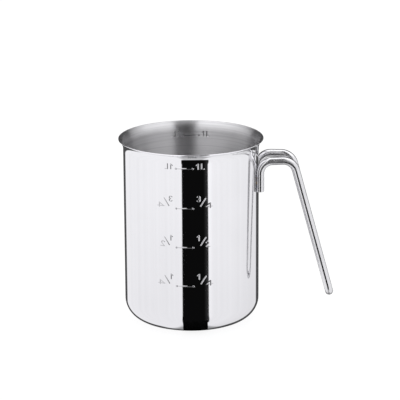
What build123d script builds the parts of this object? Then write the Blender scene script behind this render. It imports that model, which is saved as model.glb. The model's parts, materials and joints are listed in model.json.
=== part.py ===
from build123d import *
from math import asin, atan, atan2, cos, degrees, radians, sin, sqrt, tan
import os

# Candle melting pot: a one-litre graduated steel beaker with a welded hairpin rod handle.
# Millimetres. Origin at the centre of the base underside, +Z up, handle towards +X.

# Cup: one deep-drawn sheet shell.
SHEET = 0.8
WALL_RADIUS = 51.0
CORNER_RADIUS = 15.5
POT_HEIGHT = 140.4
FLARE_RADIUS = 9.2
FLARE_ANGLE = 51.0

# Volume marks, pressed outwards through the sheet: a bar with a dot at each end,
# with the figures on one side of it and their mirror image on the other.
MARK_HEIGHTS = {"1l": 129.3, "3/4": 99.1, "1/2": 69.2, "1/4": 39.3}
FRONT_SCALE_ANGLE = -96.5
BACK_SCALE_ANGLE = 89.1
RELIEF = 0.2
STROKE = 0.6
BAR_LENGTH = 12.6
DOT_RADIUS = 0.6
FIGURE_HEIGHT = 3.9

# Where the figures stand: distance from the middle of the bar and height above it.
LITRE_FIGURES = {"1": (8.9, -0.4), "l": (12.5, -0.4)}
UPPER_FIGURE = (9.3, 5.3)
LOWER_FIGURE = (15.4, 0.5)
SLASH = [(11.7, 1.7), (15.2, 7.5)]

# Handle: one round rod bent to a hairpin with its turn at the free tip.
ROD_RADIUS = 3.0
WELD_GAP = 0.15
WELD_FLAT = 1.0
LEG_SPREAD = 13.2
TOE_IN = 6.0
LEG_FOOT = 101.1
HANDLE_TOP = 124.4
WALL_BEND_RADIUS = 9.2
TOP_BEND_START = 68.6
TOP_BEND_RADIUS = 10.2
LEG_LEAN = 15.2
LEG_END_HEIGHT = 25.5
END_ROUNDING = 0.7

# Welds: one flat nugget between each leg and the wall.
WELD_WIDTH = 3.2
WELD_HEIGHT = 13.0
WELD_CENTRE = 108.6


def cup_shell():
    """Revolve the sheet's cross-section: floor, corner, wall, flare and rounded lip."""
    inner = WALL_RADIUS - SHEET
    centre_r = WALL_RADIUS - CORNER_RADIUS
    flare = radians(FLARE_ANGLE)
    lip = SHEET / 2
    flare_start = POT_HEIGHT - lip - (FLARE_RADIUS + lip) * sin(flare)
    flare_centre = WALL_RADIUS + FLARE_RADIUS

    def on_flare(radius, angle):
        return (flare_centre - radius * cos(angle), 0, flare_start + radius * sin(angle))

    def on_corner(radius):
        reach = radius * sqrt(0.5)
        return (centre_r + reach, 0, CORNER_RADIUS - reach)

    lip_r, _, lip_z = on_flare(FLARE_RADIUS + lip, flare)
    lip_tip = (lip_r + lip * sin(flare), 0, lip_z + lip * cos(flare))
    outer_flare = FLARE_RADIUS
    inner_flare = FLARE_RADIUS + SHEET
    profile = [
        Line((0, 0, 0), (centre_r, 0, 0)),
        ThreePointArc((centre_r, 0, 0), on_corner(CORNER_RADIUS), (WALL_RADIUS, 0, CORNER_RADIUS)),
        Line((WALL_RADIUS, 0, CORNER_RADIUS), (WALL_RADIUS, 0, flare_start)),
        ThreePointArc(on_flare(outer_flare, 0), on_flare(outer_flare, flare / 2), on_flare(outer_flare, flare)),
        ThreePointArc(on_flare(outer_flare, flare), lip_tip, on_flare(inner_flare, flare)),
        ThreePointArc(on_flare(inner_flare, flare), on_flare(inner_flare, flare / 2), on_flare(inner_flare, 0)),
        Line((inner, 0, flare_start), (inner, 0, CORNER_RADIUS)),
        ThreePointArc((inner, 0, CORNER_RADIUS), on_corner(CORNER_RADIUS - SHEET), (centre_r, 0, SHEET)),
        Line((centre_r, 0, SHEET), (0, 0, SHEET)),
        Line((0, 0, SHEET), (0, 0, 0)),
    ]
    return revolve(make_face(Wire(profile)), Axis.Z, 360)


def stroke(points):
    """A line of constant width with round ends through the given points."""
    shape = Pos(*points[0]) * Circle(STROKE / 2)
    for start, end in zip(points, points[1:]):
        run = end[0] - start[0]
        rise = end[1] - start[1]
        middle = Pos((start[0] + end[0]) / 2, (start[1] + end[1]) / 2)
        turn = Rotation(0, 0, degrees(atan2(rise, run)))
        shape += middle * turn * Rectangle(sqrt(run * run + rise * rise), STROKE)
        shape += Pos(*end) * Circle(STROKE / 2)
    return shape


def arc_points(centre, radius, start, end, count):
    """Points along an arc, angles in degrees."""
    angles = [radians(start + (end - start) * i / count) for i in range(count + 1)]
    return [(centre[0] + radius * cos(a), centre[1] + radius * sin(a)) for a in angles]


def figure(name, left, base):
    """One numeral or letter, standing on the height `base` with its left side at `left`."""
    h = FIGURE_HEIGHT
    bowl = h * 0.26
    top = (bowl, h - bowl)
    low = (bowl, bowl)
    strokes = {
        "1": [[(0, h - 1.1), (1.2, h), (1.2, 0)]],
        "l": [[(0, h), (0, 0), (1.7, 0)]],
        "2": [arc_points(top, bowl, 170, -25, 6) + [(0, 0), (2.8, 0)]],
        "3": [arc_points(top, bowl, 150, -80, 7), arc_points(low, bowl, 80, -150, 7)],
        "4": [[(4.1, h * 0.22), (0, h * 0.22), (3.5, h * 0.85), (3.5, 0)]],
    }
    shape = None
    for points in strokes[name]:
        drawn = stroke([(left + x, base + y) for x, y in points])
        shape = drawn if shape is None else shape + drawn
    return shape


def label(text):
    """The figures that stand to the right of one bar; heights are above the bar."""
    if text == "1l":
        return figure("1", *LITRE_FIGURES["1"]) + figure("l", *LITRE_FIGURES["l"])
    upper, lower = text.split("/")
    return figure(upper, *UPPER_FIGURE) + stroke(SLASH) + figure(lower, *LOWER_FIGURE)


def mark(text):
    """One complete volume mark, flat: bar, end dots, figures and mirrored figures."""
    half = BAR_LENGTH / 2
    shape = stroke([(-half, 0), (half, 0)])
    for end in (-half, half):
        shape += Pos(end, 0) * Circle(DOT_RADIUS)
    figures = label(text)
    return shape + figures + mirror(figures, Plane.YZ)


def ring(radius_in, radius_out):
    """A tall thin tube around the pot axis."""
    tube = Cylinder(radius_out, POT_HEIGHT, align=(Align.CENTER, Align.CENTER, Align.MIN))
    return tube - Cylinder(radius_in, POT_HEIGHT, align=(Align.CENTER, Align.CENTER, Align.MIN))


def mark_prisms(angle):
    """All marks of one scale as blocks that pass through the wall at the given angle."""
    outward = Vector(cos(radians(angle)), sin(radians(angle)), 0)
    sideways = Vector(-outward.Y, outward.X, 0)
    blocks = []
    for text, height in MARK_HEIGHTS.items():
        centre = outward * (WALL_RADIUS - 6) + Vector(0, 0, height)
        plane = Plane(origin=centre, x_dir=sideways, z_dir=outward)
        blocks.append(extrude(plane * mark(text), 12))
    return blocks


def cup():
    """The shell with both volume scales pressed outwards through its wall."""
    shell = cup_shell()
    outer_ring = ring(WALL_RADIUS - 0.2, WALL_RADIUS + RELIEF)
    inner = WALL_RADIUS - SHEET
    inner_ring = ring(inner - 0.2, inner + RELIEF)
    for angle in (FRONT_SCALE_ANGLE, BACK_SCALE_ANGLE):
        for block in mark_prisms(angle):
            shell += block & outer_ring
            shell -= block & inner_ring
    return shell


def leg_reach():
    """Distance from the pot axis to the centre of a welded leg, which is ground flat against the wall."""
    return WALL_RADIUS + WELD_GAP + ROD_RADIUS - WELD_FLAT


def leg_start():
    """The part of that distance that lies along +X."""
    return sqrt(leg_reach() ** 2 - LEG_SPREAD ** 2)


def leg_point(along, height, side):
    """A point of one leg: `along` is measured in plan from the weld, turned in by the toe-in."""
    toe = radians(TOE_IN)
    return (leg_start() + along * cos(toe), side * (LEG_SPREAD - along * sin(toe)), height)


def leg_edges(side):
    """Centre line of one leg from its welded foot to the start of the tip turn."""
    lean = atan(tan(radians(LEG_LEAN)) / cos(radians(TOE_IN)))
    r1 = WALL_BEND_RADIUS
    r2 = TOP_BEND_RADIUS
    top = HANDLE_TOP
    flat_end = (TOP_BEND_START - leg_start()) / cos(radians(TOE_IN))
    turn = radians(90) - lean
    bend_end = (flat_end + r2 * sin(turn), top - r2 + r2 * cos(turn))
    drop = bend_end[1] - LEG_END_HEIGHT
    leg_end = (bend_end[0] + drop * tan(lean), LEG_END_HEIGHT)

    def at(along, height):
        return leg_point(along, height, side)

    r1_mid = r1 * (1 - sqrt(0.5))
    edges = [
        Line(at(0, LEG_FOOT), at(0, top - r1)),
        ThreePointArc(at(0, top - r1), at(r1_mid, top - r1_mid), at(r1, top)),
        Line(at(r1, top), at(flat_end, top)),
        ThreePointArc(
            at(flat_end, top),
            at(flat_end + r2 * sin(turn / 2), top - r2 + r2 * cos(turn / 2)),
            at(*bend_end),
        ),
        Line(at(*bend_end), at(*leg_end)),
    ]
    return edges


def handle():
    """Sweep the rod along both legs and the turn that joins them at the tip."""
    near = leg_edges(-1)
    far = leg_edges(1)
    start = near[-1] @ 1
    finish = far[-1] @ 1
    heading = near[-1] % 1
    forward = Vector(heading.X, 0, heading.Z).normalized()
    slip = abs(heading.Y)
    turn_radius = abs(start.Y) / sqrt(1 - slip * slip)
    centre = Vector(start.X, 0, start.Z) - forward * (turn_radius * slip)
    tip = centre + forward * turn_radius
    path = Wire(near + [ThreePointArc(start, tip, finish)] + far)
    foot = Plane(origin=leg_point(0, LEG_FOOT, -1), z_dir=(0, 0, 1))
    rod = sweep(foot * Circle(ROD_RADIUS), path=path)
    foot_edges = rod.edges().filter_by_position(Axis.Z, LEG_FOOT - 0.01, LEG_FOOT + 0.01)
    rod = fillet(foot_edges, END_ROUNDING)
    hollow = Cylinder(WALL_RADIUS + WELD_GAP, POT_HEIGHT, align=(Align.CENTER, Align.CENTER, Align.MIN))
    return rod - hollow


def weld(side, rod):
    """The nugget that fills the narrow gap between one leg and the wall."""
    angle = asin(LEG_SPREAD / leg_reach()) * side
    outward = Vector(cos(angle), sin(angle), 0)
    centre = outward * (WALL_RADIUS - 1) + Vector(0, 0, WELD_CENTRE)
    plane = Plane(origin=centre, x_dir=(0, 0, 1), z_dir=outward)
    block = extrude(plane * SlotOverall(WELD_HEIGHT, WELD_WIDTH), 2)
    core = Cylinder(WALL_RADIUS, POT_HEIGHT, align=(Align.CENTER, Align.CENTER, Align.MIN))
    return block - core - rod


def build():
    """Make every sub-part and write each one to its own STEP file."""
    rod = handle()
    nodes = {
        "cup": cup(),
        "handle": rod,
        "handle_welds": Compound(children=[weld(-1, rod), weld(1, rod)]),
    }
    os.makedirs("parts", exist_ok=True)
    for name, shape in nodes.items():
        export_step(shape, f"parts/{name}.step")
        box = shape.bounding_box()
        print(name, len(shape.solids()), "solids", round(shape.volume), "mm3", box.min, box.max)


build()
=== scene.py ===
import json
import math

import bpy
import numpy as np
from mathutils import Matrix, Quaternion, Vector


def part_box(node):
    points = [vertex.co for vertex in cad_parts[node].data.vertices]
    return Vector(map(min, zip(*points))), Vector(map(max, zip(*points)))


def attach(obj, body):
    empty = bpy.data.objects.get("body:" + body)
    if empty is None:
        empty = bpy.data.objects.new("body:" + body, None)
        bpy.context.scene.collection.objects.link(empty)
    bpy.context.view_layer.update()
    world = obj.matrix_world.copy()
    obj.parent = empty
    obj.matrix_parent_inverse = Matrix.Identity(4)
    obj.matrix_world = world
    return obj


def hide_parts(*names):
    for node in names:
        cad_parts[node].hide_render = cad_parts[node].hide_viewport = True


# Candle melting pot: a polished one-litre steel beaker with a welded hairpin rod handle.
# Metres, in the CAD frame: +Z up from the base, handle towards +X.

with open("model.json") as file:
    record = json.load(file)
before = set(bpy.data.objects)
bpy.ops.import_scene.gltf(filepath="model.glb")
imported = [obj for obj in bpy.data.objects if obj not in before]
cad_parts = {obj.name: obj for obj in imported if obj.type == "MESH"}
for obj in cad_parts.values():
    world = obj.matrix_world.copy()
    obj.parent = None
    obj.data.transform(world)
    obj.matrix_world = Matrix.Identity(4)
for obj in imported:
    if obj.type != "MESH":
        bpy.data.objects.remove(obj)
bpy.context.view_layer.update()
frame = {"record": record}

MM = 0.001
mounts = {m["name"]: m for m in frame["record"]["mounts"]}
cup_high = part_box("cup")[1]
rod_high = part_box("handle")[1]
weld_low, weld_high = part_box("handle_welds")

# Cup section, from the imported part.
SHEET = 0.8 * MM
INNER_RADIUS = mounts["cup_mouth"]["dims"]["r_mm"] * MM
WALL_RADIUS = INNER_RADIUS + SHEET
MOUTH_LENGTH = mounts["cup_mouth"]["dims"]["length_mm"] * MM
MOUTH_MIDDLE = mounts["cup_mouth"]["pos_m"][2]
CORNER_RADIUS = MOUTH_MIDDLE - MOUTH_LENGTH / 2
FLARE_START = MOUTH_MIDDLE + MOUTH_LENGTH / 2
LIP_RADIUS = SHEET / 2
RIM_RADIUS = min(cup_high.x, cup_high.y)
POT_HEIGHT = cup_high.z

# Cup mesh: steps along each curve of the section, and rings on the flat base as shares of its radius.
CORNER_STEPS = 24
FLARE_STEPS = 28
LIP_STEPS = 10
BASE_RINGS = [0.2, 0.45, 0.7, 0.9, 0.985]
FINE_COLUMN = 0.19 * MM
FINE_ROW = 0.17 * MM
COARSE_COLUMN = math.radians(1.5)
COARSE_ROW = 2.5 * MM

# Volume marks, and how far they reach to each side, below and above the bar.
MARK_HEIGHTS = {"1l": 129.3 * MM, "3/4": 99.1 * MM, "1/2": 69.2 * MM, "1/4": 39.3 * MM}
FRONT_SCALE_ANGLE = math.radians(-96.5)
BACK_SCALE_ANGLE = math.radians(89.1)
RELIEF = 0.2 * MM
STROKE = 0.5 * MM
PRESS_SOFTNESS = 0.24 * MM
PUNCH_SOFTNESS = 0.12 * MM
BAR_LENGTH = 12.6 * MM
DOT_RADIUS = 0.6 * MM
FIGURE_HEIGHT = 3.9 * MM
SCALE_HALF_WIDTH = 20.2 * MM
MARK_BELOW = 1.2 * MM
MARK_ABOVE = 10.0 * MM

# Where the figures stand, in mm: distance from the middle of the bar and height above it.
LITRE_FIGURES = {"1": (8.9, -0.4), "l": (12.5, -0.4)}
UPPER_FIGURE = (9.3, 5.3)
LOWER_FIGURE = (15.4, 0.5)
SLASH = [(11.7, 1.7), (15.2, 7.5)]

# Handle centre line.
ROD_RADIUS = 3.0 * MM
WELD_GAP = 0.15 * MM
WELD_FLAT = 1.0 * MM
LEG_REACH = WALL_RADIUS + WELD_GAP + ROD_RADIUS - WELD_FLAT
LEG_SPREAD = rod_high.y - ROD_RADIUS
LEG_X = math.sqrt(LEG_REACH ** 2 - LEG_SPREAD ** 2)
HANDLE_TOP = rod_high.z - ROD_RADIUS
TOE_IN = math.radians(6.0)
LEG_FOOT = 101.1 * MM
WALL_BEND_RADIUS = 9.2 * MM
TOP_BEND_START = 68.6 * MM
TOP_BEND_RADIUS = 10.2 * MM
LEG_LEAN = math.radians(15.2)
LEG_END_HEIGHT = 25.5 * MM
END_ROUNDING = 0.7 * MM
ROD_SIDES = 40
BEND_STEPS = 24

# Weld beads, one in the crevice behind each leg.
BEAD_ROWS = 60
BEAD_POINTS = 9
BEAD_HALF_WIDTH = 2.25 * MM
BEAD_OVERLAP = 0.1 * MM


# ---------------------------------------------------------------- mesh helpers

def make_object(name, verts, faces, material_index=None, materials=()):
    mesh = bpy.data.meshes.new(name)
    mesh.from_pydata([tuple(v) for v in verts], [], faces)
    for material in materials:
        mesh.materials.append(material)
    if material_index is not None:
        mesh.polygons.foreach_set("material_index", material_index)
    mesh.polygons.foreach_set("use_smooth", [True] * len(mesh.polygons))
    mesh.update()
    obj = bpy.data.objects.new(name, mesh)
    bpy.context.scene.collection.objects.link(obj)
    return obj


def add_values(obj, name, values):
    """One number per vertex, for the materials to read."""
    attribute = obj.data.attributes.new(name, "FLOAT", "POINT")
    attribute.data.foreach_set("value", np.array(values, np.float32))


def smoothstep(low, high, value):
    t = np.clip((value - low) / (high - low), 0, 1)
    return t * t * (3 - 2 * t)


# ---------------------------------------------------------------- volume marks

def arc_points(centre, radius, start, end, count):
    angles = [math.radians(start + (end - start) * i / count) for i in range(count + 1)]
    return [(centre[0] + radius * math.cos(a), centre[1] + radius * math.sin(a)) for a in angles]


def figure(name, left, base):
    """Strokes of one numeral or letter, in mm."""
    h = FIGURE_HEIGHT / MM
    bowl = h * 0.26
    top = (bowl, h - bowl)
    low = (bowl, bowl)
    strokes = {
        "1": [[(0, h - 1.1), (1.2, h), (1.2, 0)]],
        "l": [[(0, h), (0, 0), (1.7, 0)]],
        "2": [arc_points(top, bowl, 170, -25, 9) + [(0, 0), (2.8, 0)]],
        "3": [arc_points(top, bowl, 150, -80, 9), arc_points(low, bowl, 80, -150, 9)],
        "4": [[(4.1, h * 0.22), (0, h * 0.22), (3.5, h * 0.85), (3.5, 0)]],
    }
    return [[(left + x, base + y) for x, y in points] for points in strokes[name]]


def label(text):
    """Strokes of the figures that stand to the right of one bar, in mm."""
    if text == "1l":
        return figure("1", *LITRE_FIGURES["1"]) + figure("l", *LITRE_FIGURES["l"])
    upper, lower = text.split("/")
    return figure(upper, *UPPER_FIGURE) + [SLASH] + figure(lower, *LOWER_FIGURE)


def mark_segments(text):
    """Line segments and dots of one mark: (x0, y0, x1, y1, radius)."""
    half = BAR_LENGTH / 2
    r = STROKE / 2
    segments = [
        (-half, 0, half, 0, r),
        (-half, 0, -half, 0, DOT_RADIUS),
        (half, 0, half, 0, DOT_RADIUS),
    ]
    for points in label(text):
        for (x0, y0), (x1, y1) in zip(points, points[1:]):
            segments.append((x0 * MM, y0 * MM, x1 * MM, y1 * MM, r))
            segments.append((-x0 * MM, y0 * MM, -x1 * MM, y1 * MM, r))
    return segments


def pressed_share(text, across, up, softness):
    """How fully one mark's punch reaches each point: 1 on a stroke, 0 clear of it."""
    share = np.zeros(across.shape)
    for x0, y0, x1, y1, r in mark_segments(text):
        dx = x1 - x0
        dy = y1 - y0
        length2 = dx * dx + dy * dy
        t = 0.0
        if length2 > 0:
            t = np.clip(((across - x0) * dx + (up - y0) * dy) / length2, 0, 1)
        gap = np.hypot(across - x0 - t * dx, up - y0 - t * dy) - r
        share = np.maximum(share, 1 - smoothstep(-softness, softness, gap))
    return share


def relief(angle, height, softness):
    """How far the sheet is pressed outwards round the cup at one height."""
    out = np.zeros_like(angle)
    for centre in (FRONT_SCALE_ANGLE, BACK_SCALE_ANGLE):
        turn = (angle - centre + math.pi) % (2 * math.pi) - math.pi
        near = np.abs(turn) < math.pi / 2
        across = WALL_RADIUS * np.sin(turn[near])
        for text, level in MARK_HEIGHTS.items():
            up = height - level
            if -2 * MARK_BELOW < up < 1.2 * MARK_ABOVE:
                share = pressed_share(text, across, up, softness)
                out[near] = np.maximum(out[near], RELIEF * share)
    return out


# ---------------------------------------------------------------- cup

def cup_columns():
    """Angles round the cup: fine across the two volume scales, coarser elsewhere."""
    half = SCALE_HALF_WIDTH / WALL_RADIUS
    angles = []
    edges = [FRONT_SCALE_ANGLE - half, FRONT_SCALE_ANGLE + half, BACK_SCALE_ANGLE - half,
             BACK_SCALE_ANGLE + half, FRONT_SCALE_ANGLE - half + 2 * math.pi]
    for k, (start, end) in enumerate(zip(edges, edges[1:])):
        step = FINE_COLUMN / WALL_RADIUS if k % 2 == 0 else COARSE_COLUMN
        count = max(2, round((end - start) / step))
        angles += [start + (end - start) * i / count for i in range(count)]
    return np.array(angles)


def wall_rows():
    """Heights up the straight wall: fine where there are marks, coarser elsewhere."""
    edges = [CORNER_RADIUS]
    for level in sorted(MARK_HEIGHTS.values()):
        edges += [level - MARK_BELOW, min(level + MARK_ABOVE, FLARE_START)]
    rows = []
    for k, (start, end) in enumerate(zip(edges, edges[1:])):
        step = COARSE_ROW if k % 2 == 0 else FINE_ROW
        count = max(1, round((end - start) / step))
        rows += [start + (end - start) * i / count for i in range(count)]
    rows.append(edges[-1])
    return rows


def corner_rows(radius, side):
    """The rounded lower corner, from the base up, for one side of the sheet."""
    centre = WALL_RADIUS - CORNER_RADIUS
    rows = []
    for a in np.linspace(0, math.pi / 2, CORNER_STEPS + 1)[:-1]:
        rows.append((centre + radius * math.sin(a), CORNER_RADIUS - radius * math.cos(a), side, False))
    return rows


def flare_rows():
    """Outer flare from the wall up, the lip, and the inner flare back down to the wall."""
    widening = RIM_RADIUS - WALL_RADIUS
    rise = POT_HEIGHT - LIP_RADIUS - FLARE_START
    angle = 2 * math.atan2(widening, rise)
    middle = rise / math.sin(angle)
    centre = WALL_RADIUS - LIP_RADIUS + middle

    def at(radius, a, side):
        return (centre - radius * math.cos(a), FLARE_START + radius * math.sin(a), side, True)

    turns = np.linspace(0, angle, FLARE_STEPS + 1)
    outer = [at(middle - LIP_RADIUS, a, "outside") for a in turns[1:]]
    inner = [at(middle + LIP_RADIUS, a, "inside") for a in turns[:0:-1]]
    lip_r, lip_z, _, _ = at(middle, angle, "lip")
    lip = []
    for a in np.linspace(0, math.pi, LIP_STEPS + 1)[1:-1]:
        turn = a - angle
        lip.append((lip_r + LIP_RADIUS * math.cos(turn), lip_z + LIP_RADIUS * math.sin(turn), "lip", False))
    return outer + lip + inner


def cup_profile():
    """(radius, height, side, pressed) rows from the underside's centre over the lip to the inside's."""
    flat = WALL_RADIUS - CORNER_RADIUS
    rows = [(flat * f, 0.0, "under", False) for f in BASE_RINGS]
    rows += corner_rows(CORNER_RADIUS, "outside")
    rows += [(WALL_RADIUS, z, "outside", True) for z in wall_rows()]
    rows += flare_rows()
    rows += [(INNER_RADIUS, z, "inside", True) for z in reversed(wall_rows())]
    rows += reversed(corner_rows(CORNER_RADIUS - SHEET, "inside"))
    rows += [(flat * f, SHEET, "inside", False) for f in reversed(BASE_RINGS)]
    return rows


def build_cup(materials):
    angles = cup_columns()
    rows = cup_profile()
    columns = len(angles)
    verts = [(0, 0, 0)]
    along = [0.0]
    stamped = [0.0]
    travelled = 0.0
    last = (0.0, 0.0)
    for radius, height, side, pressed in rows:
        travelled += math.hypot(radius - last[0], height - last[1])
        last = (radius, height)
        softness = PUNCH_SOFTNESS if side == "inside" else PRESS_SOFTNESS
        push = relief(angles, height, softness) if pressed else np.zeros(columns)
        r = radius + push
        verts += list(zip(r * np.cos(angles), r * np.sin(angles), np.full(columns, height)))
        along += [travelled] * columns
        stamped += list(push / RELIEF)
    verts.append((0, 0, SHEET))
    along.append(travelled + last[0])
    stamped.append(0.0)
    top = len(verts) - 1
    faces = []
    index = []
    slots = {"under": 2, "outside": 0, "lip": 0, "inside": 1}
    for c in range(columns):
        faces.append((0, 1 + (c + 1) % columns, 1 + c))
        index.append(slots["under"])
    for k in range(len(rows) - 1):
        low = 1 + k * columns
        high = low + columns
        kind = slots[rows[k + 1][2]] if rows[k][2] != "outside" else slots["outside"]
        for c in range(columns):
            d = (c + 1) % columns
            faces.append((low + c, low + d, high + d, high + c))
            index.append(kind)
    low = 1 + (len(rows) - 1) * columns
    for c in range(columns):
        faces.append((low + c, low + (c + 1) % columns, top))
        index.append(slots["inside"])
    obj = make_object("cup_shell", verts, faces, index, materials)
    add_values(obj, "across", along)
    add_values(obj, "stamped", stamped)
    return obj


# ---------------------------------------------------------------- handle

def leg_points(side):
    """Dense centre-line points of one leg, foot to tip turn, with the toe-in turned in plan."""
    lean = math.atan(math.tan(LEG_LEAN) / math.cos(TOE_IN))
    r1 = WALL_BEND_RADIUS
    r2 = TOP_BEND_RADIUS
    flat_end = (TOP_BEND_START - LEG_X) / math.cos(TOE_IN)
    turn = math.pi / 2 - lean
    flat = []
    for z in np.linspace(LEG_FOOT, HANDLE_TOP - r1, 8):
        flat.append((0.0, z))
    for a in np.linspace(0, math.pi / 2, BEND_STEPS + 1)[1:]:
        flat.append((r1 - r1 * math.cos(a), HANDLE_TOP - r1 + r1 * math.sin(a)))
    for t in np.linspace(r1, flat_end, 5)[1:]:
        flat.append((t, HANDLE_TOP))
    for a in np.linspace(0, turn, BEND_STEPS + 1)[1:]:
        flat.append((flat_end + r2 * math.sin(a), HANDLE_TOP - r2 + r2 * math.cos(a)))
    start = flat[-1]
    drop = start[1] - LEG_END_HEIGHT
    for f in np.linspace(0, 1, 30)[1:]:
        flat.append((start[0] + f * drop * math.tan(lean), start[1] - f * drop))
    return [Vector((LEG_X + t * math.cos(TOE_IN), side * (LEG_SPREAD - t * math.sin(TOE_IN)), z))
            for t, z in flat]


def handle_path():
    """The rod's centre line: near leg, half turn at the tip, far leg."""
    near = leg_points(-1)
    far = leg_points(1)
    start = near[-1]
    heading = (near[-1] - near[-2]).normalized()
    forward = Vector((heading.x, 0, heading.z)).normalized()
    slip = heading.y
    radius = -start.y / math.sqrt(1 - slip * slip)
    centre = Vector((start.x, 0, start.z)) - forward * (radius * slip)
    begin = math.asin(slip)
    turn = []
    for a in np.linspace(begin, math.pi - begin, 33)[1:-1]:
        turn.append(centre + forward * (radius * math.sin(a)) - Vector((0, radius * math.cos(a), 0)))
    return near + turn + list(reversed(far))


def rod_rings(path):
    """Cross-sections along the rod, (centre, two cross axes, radius), with rounded ends."""
    last = len(path) - 1
    tangents = [(path[min(last, k + 1)] - path[max(0, k - 1)]).normalized() for k in range(last + 1)]
    tangents[0] = Vector((0, 0, 1))
    tangents[-1] = Vector((0, 0, -1))
    normal = Vector((1, 0, 0))
    rings = []
    for centre, tangent in zip(path, tangents):
        normal = (normal - tangent * normal.dot(tangent)).normalized()
        rings.append((centre, normal.copy(), tangent.cross(normal), ROD_RADIUS))
    starts = []
    ends = []
    for a in np.linspace(0, math.pi / 2, 6):
        radius = ROD_RADIUS - END_ROUNDING * (1 - math.sin(a))
        back = END_ROUNDING * (1 - math.cos(a))
        starts.append((path[0] + tangents[0] * back, rings[0][1], rings[0][2], radius))
        ends.append((path[-1] - tangents[-1] * back, rings[-1][1], rings[-1][2], radius))
    return starts + rings[1:-1] + list(reversed(ends))


def rod_vertex(centre, u, v, radius, turn):
    """A point on the rod's skin, kept clear of the wall: that is the flat behind each welded foot."""
    point = centre + u * (radius * math.cos(turn)) + v * (radius * math.sin(turn))
    inside = (WALL_RADIUS + WELD_GAP) / math.hypot(point.x, point.y)
    if inside > 1:
        point.x *= inside
        point.y *= inside
    return point


def add_grain(obj, along):
    """UV layer with U along the rod, which gives the drawing direction to the material."""
    grain = obj.data.uv_layers.new(name="grain")
    for polygon in obj.data.polygons:
        first = polygon.vertices[0] % ROD_SIDES
        for loop in polygon.loop_indices:
            vertex = obj.data.loops[loop].vertex_index
            around = vertex % ROD_SIDES
            if first == ROD_SIDES - 1 and around == 0:
                around = ROD_SIDES
            grain.data[loop].uv = (along[vertex] * 10, around / ROD_SIDES)


def build_handle(material):
    rings = rod_rings(handle_path())
    verts = []
    along = []
    travelled = 0.0
    before = rings[0][0]
    for centre, u, v, radius in rings:
        travelled += (centre - before).length
        before = centre
        for s in range(ROD_SIDES):
            verts.append(rod_vertex(centre, u, v, radius, 2 * math.pi * s / ROD_SIDES))
            along.append(travelled)
    faces = []
    for k in range(len(rings) - 1):
        low = k * ROD_SIDES
        high = low + ROD_SIDES
        for s in range(ROD_SIDES):
            t = (s + 1) % ROD_SIDES
            faces.append((low + s, low + t, high + t, high + s))
    base = len(verts)
    last = base - ROD_SIDES
    verts += [rings[0][0], rings[-1][0]]
    along += [0.0, travelled]
    for s in range(ROD_SIDES):
        t = (s + 1) % ROD_SIDES
        faces.append((base, t, s))
        faces.append((base + 1, last + s, last + t))
    obj = make_object("handle_rod", verts, faces, None, [material])
    add_values(obj, "across", along)
    add_grain(obj, along)
    return obj


# ---------------------------------------------------------------- welds

def build_weld(name, side, material):
    """A low bead with ripples in the crevice on both sides of one leg's contact with the wall."""
    angle = side * math.asin(LEG_SPREAD / LEG_REACH)
    out = Vector((math.cos(angle), math.sin(angle), 0))
    across = Vector((-out.y, out.x, 0))
    rng = np.random.default_rng(7 + side)
    wobble = np.cumsum(rng.normal(0, 0.05, BEAD_ROWS))
    verts = []
    for k in range(BEAD_ROWS + 1):
        f = k / BEAD_ROWS
        z = weld_low.z + (weld_high.z - weld_low.z) * f
        end = math.sin(math.pi * min(1, min(f, 1 - f) * 6) / 2)
        ripple = 0.12 * math.sin(f * 34) + wobble[min(k, BEAD_ROWS - 1)] / 3
        half = BEAD_HALF_WIDTH + (0.45 * end + 0.15 * ripple) * MM
        ring = []
        for sign in (-1, 1):
            points = []
            for j in range(BEAD_POINTS):
                g = j / (BEAD_POINTS - 1)
                t = half * (1 - 0.1 * math.sin(math.pi * g))
                wall = math.sqrt(WALL_RADIUS ** 2 - t * t) - BEAD_OVERLAP
                rod_skin = LEG_REACH - math.sqrt(ROD_RADIUS ** 2 - t * t) + BEAD_OVERLAP
                rod_skin = max(rod_skin, WALL_RADIUS + WELD_GAP)
                points.append((sign * t, wall + (rod_skin - wall) * g))
            ring += points if sign < 0 else list(reversed(points))
        for t, r in ring:
            verts.append(out * r + across * t + Vector((0, 0, z)))
    n = 2 * BEAD_POINTS
    faces = []
    for k in range(BEAD_ROWS):
        for j in range(n):
            m = (j + 1) % n
            faces.append((k * n + j, k * n + m, (k + 1) * n + m, (k + 1) * n + j))
    faces.append(tuple(reversed(range(n))))
    faces.append(tuple(range(BEAD_ROWS * n, BEAD_ROWS * n + n)))
    return make_object(name, verts, faces, None, [material])


# ---------------------------------------------------------------- node helpers

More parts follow.
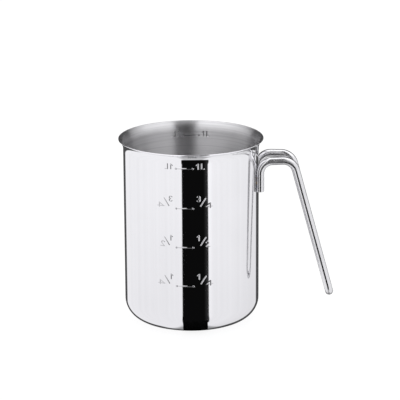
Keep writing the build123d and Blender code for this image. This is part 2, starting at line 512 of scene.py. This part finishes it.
class Nodes:
    """Short calls for building a shader tree."""

    def __init__(self, tree):
        self.tree = tree
        tree.nodes.clear()

    def add(self, kind, **settings):
        node = self.tree.nodes.new(kind)
        for key, value in settings.items():
            setattr(node, key, value)
        return node

    def put(self, socket, value):
        if isinstance(value, bpy.types.NodeSocket):
            self.tree.links.new(value, socket)
        else:
            socket.default_value = value

    def math(self, operation, a, b=0.0, c=0.0):
        node = self.add("ShaderNodeMath", operation=operation)
        for socket, value in zip(node.inputs, (a, b, c)):
            self.put(socket, value)
        return node.outputs[0]

    def step(self, value, low, high, to_low=0.0, to_high=1.0):
        node = self.add("ShaderNodeMapRange", interpolation_type="SMOOTHSTEP")
        for key, item in (("Value", value), ("From Min", low), ("From Max", high),
                          ("To Min", to_low), ("To Max", to_high)):
            self.put(node.inputs[key], item)
        return node.outputs[0]

    def turn(self, angle, low, high, to_low=0.0, to_high=1.0):
        """A step between two angles in degrees."""
        return self.step(angle, math.radians(low), math.radians(high), to_low, to_high)

    def blend(self, factor, a, b):
        """The value a where the factor is 0, and b where it is 1."""
        rest = self.math("MULTIPLY", a, self.math("SUBTRACT", 1.0, factor))
        return self.math("MULTIPLY_ADD", factor, b, rest)

    def noise(self, vector, scale, detail=2.0, roughness=0.5):
        node = self.add("ShaderNodeTexNoise")
        self.put(node.inputs["Vector"], vector)
        node.inputs["Scale"].default_value = scale
        node.inputs["Detail"].default_value = detail
        node.inputs["Roughness"].default_value = roughness
        return node.outputs["Fac"]

    def value(self, name):
        return self.add("ShaderNodeAttribute", attribute_name=name).outputs["Fac"]

    def place(self):
        return self.add("ShaderNodeTexCoord").outputs["Object"]

    def stretch(self, vector, scale):
        node = self.add("ShaderNodeVectorMath", operation="MULTIPLY")
        self.put(node.inputs[0], vector)
        node.inputs[1].default_value = scale
        return node.outputs[0]

    def bump(self, height, strength, distance, normal=None):
        node = self.add("ShaderNodeBump")
        node.inputs["Strength"].default_value = strength
        node.inputs["Distance"].default_value = distance
        self.put(node.inputs["Height"], height)
        if normal is not None:
            self.put(node.inputs["Normal"], normal)
        return node.outputs[0]

    def mix(self, factor, a, b):
        node = self.add("ShaderNodeMix", data_type="RGBA")
        self.put(node.inputs[0], factor)
        self.put(node.inputs[6], a)
        self.put(node.inputs[7], b)
        return node.outputs[2]


def new_material(name):
    material = bpy.data.materials.new(name)
    material.use_nodes = True
    n = Nodes(material.node_tree)
    shader = n.add("ShaderNodeBsdfPrincipled")
    output = n.add("ShaderNodeOutputMaterial")
    n.put(output.inputs["Surface"], shader.outputs[0])
    shader.inputs["Metallic"].default_value = 1.0
    return material, n, shader


# ---------------------------------------------------------------- materials

def polished_steel():
    """Mirror-polished outside: faint waviness from the drawing, polishing hairlines, and painted shade,
    darker towards the bottom and on the stamps.
    """
    material, n, shader = new_material("polished_steel")
    place = n.place()
    waves = n.noise(n.stretch(place, (1, 1, 0.35)), 38, 1.0)
    hairs = n.noise(n.stretch(place, (60, 60, 2600)), 1.0, 3.0, 0.6)
    smear = n.noise(place, 30, 3.0)
    tone = n.mix(n.step(smear, 0.35, 0.7), (0.84, 0.835, 0.855, 1), (0.82, 0.817, 0.835, 1))
    split = n.add("ShaderNodeSeparateXYZ")
    n.put(split.inputs[0], place)
    # Painted shade: the base colour darkens towards the bottom of the pot.
    painted_low_shade = n.step(split.outputs[2], 0.0, POT_HEIGHT, 0.45, 0.0)
    tone = n.mix(painted_low_shade, tone, (0.70, 0.695, 0.715, 1))
    # Painted shade: the stamped marks get a darker base colour.
    stamped = n.value("stamped")
    painted_stamp_shade = n.math("MULTIPLY", n.step(stamped, 0.02, 0.4), 0.7)
    n.put(shader.inputs["Base Color"], n.mix(painted_stamp_shade, tone, (0.45, 0.445, 0.46, 1)))
    n.put(shader.inputs["Roughness"], n.step(smear, 0.3, 0.75, 0.035, 0.06))
    rough = n.bump(hairs, 0.06, 0.00002)
    n.put(shader.inputs["Normal"], n.bump(waves, 0.12, 0.0002, rough))
    return material


def brushed_steel():
    """Brushed inside: grooves round the wall and in rings on the floor; the stamped marks are smooth, and
    painted shade darkens their recesses.
    """
    material, n, shader = new_material("brushed_steel")
    place = n.place()
    across = n.value("across")
    split = n.add("ShaderNodeSeparateXYZ")
    n.put(split.inputs[0], place)
    lines = []
    for length, width in ((22, 5200), (45, 2100), (7, 900)):
        joined = n.add("ShaderNodeCombineXYZ")
        n.put(joined.inputs[0], n.math("MULTIPLY", split.outputs[0], length))
        n.put(joined.inputs[1], n.math("MULTIPLY", split.outputs[1], length))
        n.put(joined.inputs[2], n.math("MULTIPLY", across, width))
        lines.append(n.noise(joined.outputs[0], 1.0, 2.0, 0.6))
    grooves = n.math("ADD", n.math("MULTIPLY", lines[0], 0.6), n.math("MULTIPLY", lines[1], 0.4))
    blotch = n.noise(place, 45, 3.0)
    tone = n.mix(n.step(grooves, 0.3, 0.7), (0.71, 0.705, 0.715, 1), (0.79, 0.785, 0.795, 1))
    scored = n.step(lines[2], 0.36, 0.55, 0.35, 0.0)
    tone = n.mix(scored, tone, (0.52, 0.515, 0.53, 1))
    stamped = n.value("stamped")
    # Painted shade: the stamped recesses get a dark base colour; they are also smooth where the rest is
    # brushed.
    brushed_unshaded = n.step(stamped, 0.05, 0.5, 1.0, 0.0)
    n.put(shader.inputs["Base Color"], n.mix(brushed_unshaded, (0.36, 0.355, 0.365, 1), tone))
    rough = n.step(blotch, 0.3, 0.7, 0.26, 0.31)
    n.put(shader.inputs["Roughness"], n.math("MULTIPLY_ADD", brushed_unshaded, rough, 0.1))
    n.put(shader.inputs["Anisotropic"], brushed_unshaded)
    shader.inputs["Anisotropic Rotation"].default_value = 0.25
    tangent = n.add("ShaderNodeTangent", direction_type="RADIAL", axis="Z")
    n.put(shader.inputs["Tangent"], tangent.outputs[0])
    n.put(shader.inputs["Normal"], n.bump(grooves, 0.6, 0.00006))
    return material


def base_steel():
    """Underside: polished, with fine turned rings and scuffs from standing."""
    material, n, shader = new_material("base_steel")
    place = n.place()
    across = n.value("across")
    rings = n.math("SINE", n.math("MULTIPLY", across, 5200))
    scuffs = n.noise(n.stretch(place, (900, 90, 1)), 1.0, 3.0, 0.7)
    n.put(shader.inputs["Base Color"],
          n.mix(n.step(scuffs, 0.4, 0.75), (0.66, 0.655, 0.66, 1), (0.5, 0.495, 0.5, 1)))
    n.put(shader.inputs["Roughness"], n.step(scuffs, 0.35, 0.75, 0.16, 0.42))
    fine = n.bump(rings, 0.12, 0.00003)
    n.put(shader.inputs["Normal"], n.bump(scuffs, 0.15, 0.00004, fine))
    return material


def rod_steel():
    """Polished rod: drawn along its length, slightly hazier than the cup."""
    material, n, shader = new_material("rod_steel")
    place = n.place()
    across = n.value("across")
    joined = n.add("ShaderNodeCombineXYZ")
    n.put(joined.inputs[0], n.math("MULTIPLY", across, 900))
    n.put(joined.inputs[1], n.noise(place, 60, 2.0))
    rings = n.noise(joined.outputs[0], 1.0, 3.0, 0.6)
    smear = n.noise(place, 70, 3.0)
    n.put(shader.inputs["Base Color"],
          n.mix(n.step(smear, 0.35, 0.7), (0.75, 0.747, 0.76, 1), (0.71, 0.707, 0.72, 1)))
    n.put(shader.inputs["Roughness"], n.step(smear, 0.3, 0.75, 0.21, 0.27))
    shader.inputs["Anisotropic"].default_value = 0.8
    tangent = n.add("ShaderNodeTangent", direction_type="UV_MAP", uv_map="grain")
    n.put(shader.inputs["Tangent"], tangent.outputs[0])
    n.put(shader.inputs["Normal"], n.bump(rings, 0.08, 0.00004))
    return material


def weld_steel():
    """Weld flash: dull, rippled, with straw and blue heat tint."""
    material, n, shader = new_material("weld_steel")
    place = n.place()
    grain = n.noise(place, 1400, 4.0, 0.6)
    tint = n.noise(place, 260, 2.0)
    ramp = n.add("ShaderNodeValToRGB")
    stops = ramp.color_ramp.elements
    stops[0].position = 0.35
    stops[0].color = (0.30, 0.24, 0.17, 1)
    stops[1].position = 0.7
    stops[1].color = (0.40, 0.39, 0.40, 1)
    middle = stops.new(0.52)
    middle.color = (0.24, 0.25, 0.31, 1)
    n.put(ramp.inputs[0], tint)
    n.put(shader.inputs["Base Color"], ramp.outputs[0])
    n.put(shader.inputs["Roughness"], n.step(grain, 0.3, 0.7, 0.32, 0.5))
    n.put(shader.inputs["Normal"], n.bump(grain, 0.5, 0.00012))
    return material


def floor_paper():
    """Pale studio paper over a light table: almost even, with a trace of tooth."""
    material, n, shader = new_material("floor_paper")
    shader.inputs["Metallic"].default_value = 0.0
    place = n.place()
    tooth = n.noise(place, 700, 3.0)
    cloud = n.noise(place, 3, 2.0)
    n.put(shader.inputs["Base Color"],
          n.mix(n.step(cloud, 0.3, 0.7), (0.16, 0.16, 0.16, 1), (0.14, 0.14, 0.145, 1)))
    shader.inputs["Roughness"].default_value = 0.85
    shader.inputs["Specular IOR Level"].default_value = 0.1
    shader.inputs["Emission Color"].default_value = (1, 1, 1, 1)
    shader.inputs["Emission Strength"].default_value = 0.89
    n.put(shader.inputs["Normal"], n.bump(tooth, 0.1, 0.0001))
    return material


def painted_shade_black():
    """Painted shade: matt black sheet with a trace of grain, for the shaded floor at the pot's front as the
    metal sees it.
    """
    material, n, shader = new_material("painted_shade_black")
    shader.inputs["Metallic"].default_value = 0.0
    place = n.place()
    n.put(shader.inputs["Base Color"],
          n.mix(n.noise(place, 300), (0.002, 0.002, 0.002, 1), (0.005, 0.005, 0.005, 1)))
    shader.inputs["Roughness"].default_value = 0.9
    shader.inputs["Specular IOR Level"].default_value = 0.0
    return material


# ---------------------------------------------------------------- object

cup = build_cup([polished_steel(), brushed_steel(), base_steel()])
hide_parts("cup")
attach(cup, "root")

rod = build_handle(rod_steel())
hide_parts("handle")
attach(rod, "root")

weld_material = weld_steel()
welds = [build_weld("weld_near", -1, weld_material), build_weld("weld_far", 1, weld_material)]
for weld in welds:
    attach(weld, "root")
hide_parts("handle_welds")


# ---------------------------------------------------------------- studio

FLOOR_HALF_SIZE = 6.0
FLOOR_CELLS = 4

# A black card on the floor in front of the pot, widening towards the camera, is painted shade: it stands in
# for the shaded floor at the pot's front, and only the metal sees it. Each row is its distance in front of
# the pot's axis and its left and right edge, in mm.
CARD_ROWS = [(28, -7.4, 11.4), (42, -7.5, 11.6), (50, -8.7, 13.5), (61, -11.5, 17.5)]


def sheet(name, rows, material):
    """A flat stage piece from rows of points, all rows equally long."""
    width = len(rows[0])
    faces = []
    for j in range(len(rows) - 1):
        for i in range(width - 1):
            low = j * width + i
            faces.append((low, low + 1, low + width + 1, low + width))
    piece = make_object(name, [point for row in rows for point in row], faces, None, [material])
    return piece


def studio_floor():
    """The camera sees the floor; the metal sees the tent in its place."""
    steps = np.linspace(-FLOOR_HALF_SIZE, FLOOR_HALF_SIZE, FLOOR_CELLS + 1)
    rows = [[(x, y, -0.2 * MM) for x in steps] for y in steps]
    sheet("studio_floor", rows, floor_paper()).visible_glossy = False


def painted_shade_card():
    # Painted shade: a black sheet that only reflections see, in place of the shaded floor at the pot's
    # front.
    rows = [[(x * MM, -y * MM, 0.2 * MM) for x in (right, left)] for y, left, right in CARD_ROWS]
    card = sheet("painted_shade_card", rows, painted_shade_black())
    card.visible_camera = False
    card.visible_diffuse = False
    card.visible_shadow = False
    card.visible_transmission = False


studio_floor()
painted_shade_card()

# The metal reflects a light tent that is white all round and brighter overhead, with a
# straight-sided dark opening in front, where the camera stands, a grey strip of floor in line with
# it, and a dark area behind the pot. The camera and the floor see plain white.
VIEW_TURN = math.radians(-0.8)
VIEW_DROP = math.radians(16.59)
TENT_WHITE = 1.04
TENT_TOP = 1.7
SLOT_BLACK = 0.004
SLOT_GLOW = 0.035
BACK_GREY = 0.08
UNDER_GREY = 0.38
UNDER_GREY_FRONT = 0.62
PLAIN_WHITE = 1.02

# Each side of the opening is a plane: its distance aside per unit towards the camera and per unit
# up or down. Above the horizon the left side stands closer in.
SLOT_LEFT = (0.2577, 0.0936)
SLOT_LEFT_ABOVE = 0.10
SLOT_RIGHT = (0.4839, 0.1805)


def slot_side(n, x, sign, towards, lean, level, rise):
    """How far a direction lies inside one side of the opening."""
    total = n.math("MULTIPLY_ADD", towards, lean, n.math("MULTIPLY", level, rise))
    return n.math("MULTIPLY_ADD", x, sign, total)


def dark_opening(n, x, towards, z):
    """Mask of the dark front opening, and its tone: it glows faintly along the right side."""
    level = n.math("ABSOLUTE", z)
    lean = n.step(z, -0.1, 0.2, SLOT_LEFT[0], SLOT_LEFT_ABOVE)
    from_left = slot_side(n, x, 1.0, towards, lean, level, SLOT_LEFT[1])
    from_right = slot_side(n, x, -1.0, towards, SLOT_RIGHT[0], level, SLOT_RIGHT[1])
    left = n.step(from_left, -0.008, 0.008)
    right = n.step(from_right, -0.012, 0.012)
    below = n.step(n.math("MULTIPLY_ADD", z, 0.53, towards), -0.03, 0.03)
    above = n.step(n.math("MULTIPLY_ADD", z, -0.2, towards), -0.05, 0.05)
    mask = n.math("MULTIPLY", n.math("MULTIPLY", left, right), n.math("MULTIPLY", below, above))
    return mask, n.step(from_right, 0.0, 0.16, SLOT_GLOW, SLOT_BLACK)


def dark_back(n, x, azimuth, height):
    """Mask of the dark area behind the pot, wider above the horizon than below it."""
    low_half = n.step(x, -0.2, 0.2, math.radians(30), math.radians(34))
    half = n.turn(height, -16.6, 5, low_half, math.radians(54))
    away = n.math("SUBTRACT", math.pi, n.math("ABSOLUTE", azimuth))
    behind = n.step(n.math("DIVIDE", away, half), 0.94, 1.08, 1.0, 0.0)
    lower = n.turn(height, -62, -52)
    upper = n.turn(height, 45, 65, 1.0, 0.0)
    return n.math("MULTIPLY", behind, n.math("MULTIPLY", lower, upper))


def floor_strip(n, x, towards, height):
    """Mask and tone of the grey strip of floor in line with the opening."""
    strip = n.step(n.math("ABSOLUTE", n.math("ADD", x, -0.04)), 0.16, 0.26, 1.0, 0.0)
    mask = n.math("MULTIPLY", strip, n.turn(height, -40, -25, 1.0, 0.0))
    return mask, n.step(towards, -0.25, 0.3, UNDER_GREY, UNDER_GREY_FRONT)


def tent_cloth(n, azimuth, height):
    """Brightness of the cloth: soft folds, dimmer towards the back right, brighter by the opening."""
    folds = n.add("ShaderNodeCombineXYZ")
    n.put(folds.inputs[0], n.math("MULTIPLY", azimuth, 7))
    drape = n.step(n.noise(folds.outputs[0], 1.0, 3.0, 0.6), 0.3, 0.7, 0.975, 1.025)
    fade = n.turn(azimuth, 55, 150, 1.0, 0.9)
    edge_light = n.turn(azimuth, 29, 40, 1.1, 1.0)
    beside = n.turn(azimuth, 10, 20, 1.0, edge_light)
    top = n.turn(height, 20, 45, TENT_WHITE, TENT_TOP)
    return n.math("MULTIPLY", n.math("MULTIPLY", beside, top), n.math("MULTIPLY", drape, fade))


def tent_light(n):
    """Brightness of the tent in every direction, with the masks laid over each other."""
    turned = n.add("ShaderNodeVectorRotate", rotation_type="Z_AXIS")
    n.put(turned.inputs["Vector"], n.add("ShaderNodeTexCoord").outputs["Generated"])
    turned.inputs["Angle"].default_value = -VIEW_TURN
    split = n.add("ShaderNodeSeparateXYZ")
    n.put(split.inputs[0], turned.outputs[0])
    x, y, z = split.outputs
    towards = n.math("MULTIPLY", y, -1)
    azimuth = n.math("ARCTAN2", x, towards)
    height = n.math("ARCSINE", z)
    slot, slot_tone = dark_opening(n, x, towards, z)
    strip, strip_tone = floor_strip(n, x, towards, height)
    light = n.blend(strip, tent_cloth(n, azimuth, height), strip_tone)
    light = n.blend(dark_back(n, x, azimuth, height), light, BACK_GREY)
    return n.blend(slot, light, slot_tone)


def background(n, color, strength):
    node = n.add("ShaderNodeBackground")
    node.inputs["Color"].default_value = color
    n.put(node.inputs["Strength"], strength)
    return node.outputs[0]


def studio_world():
    world = bpy.data.worlds.new("studio")
    bpy.context.scene.world = world
    world.use_nodes = True
    n = Nodes(world.node_tree)
    mixed = n.add("ShaderNodeMixShader")
    n.put(mixed.inputs[0], n.add("ShaderNodeLightPath").outputs["Is Glossy Ray"])
    n.put(mixed.inputs[1], background(n, (1, 1, 1, 1), PLAIN_WHITE))
    n.put(mixed.inputs[2], background(n, (0.985, 0.985, 1.0, 1), tent_light(n)))
    n.put(n.add("ShaderNodeOutputWorld").inputs["Surface"], mixed.outputs[0])


studio_world()

# Camera: long lens, about 1.57 m from the pot, looking down 16.6 degrees.
CAMERA_DISTANCE = 1.5735
CAMERA_LENS = 186.3
CAMERA_ROLL = math.radians(-0.34)
AIM_RIGHT = 6.6 * MM
AIM_UP = 20.4 * MM


def studio_camera():
    data = bpy.data.cameras.new("camera")
    data.sensor_width = 36
    data.lens = CAMERA_LENS
    data.clip_start = 0.05
    data.clip_end = 30
    camera = bpy.data.objects.new("camera", data)
    bpy.context.scene.collection.objects.link(camera)
    middle = Vector((0, 0, POT_HEIGHT / 2 - 0.1 * MM))
    back = Vector((math.sin(VIEW_TURN) * math.cos(VIEW_DROP), -math.cos(VIEW_TURN) * math.cos(VIEW_DROP),
                   math.sin(VIEW_DROP)))
    right = Vector((math.cos(VIEW_TURN), math.sin(VIEW_TURN), 0))
    up = right.cross(-back)
    camera.location = middle + back * CAMERA_DISTANCE
    aim = middle + right * AIM_RIGHT + up * AIM_UP
    camera.rotation_mode = "QUATERNION"
    look = (aim - camera.location).to_track_quat("-Z", "Y")
    camera.rotation_quaternion = look @ Quaternion((0, 0, 1), CAMERA_ROLL)
    bpy.context.scene.camera = camera


studio_camera()
bpy.context.scene.view_settings.view_transform = "Standard"
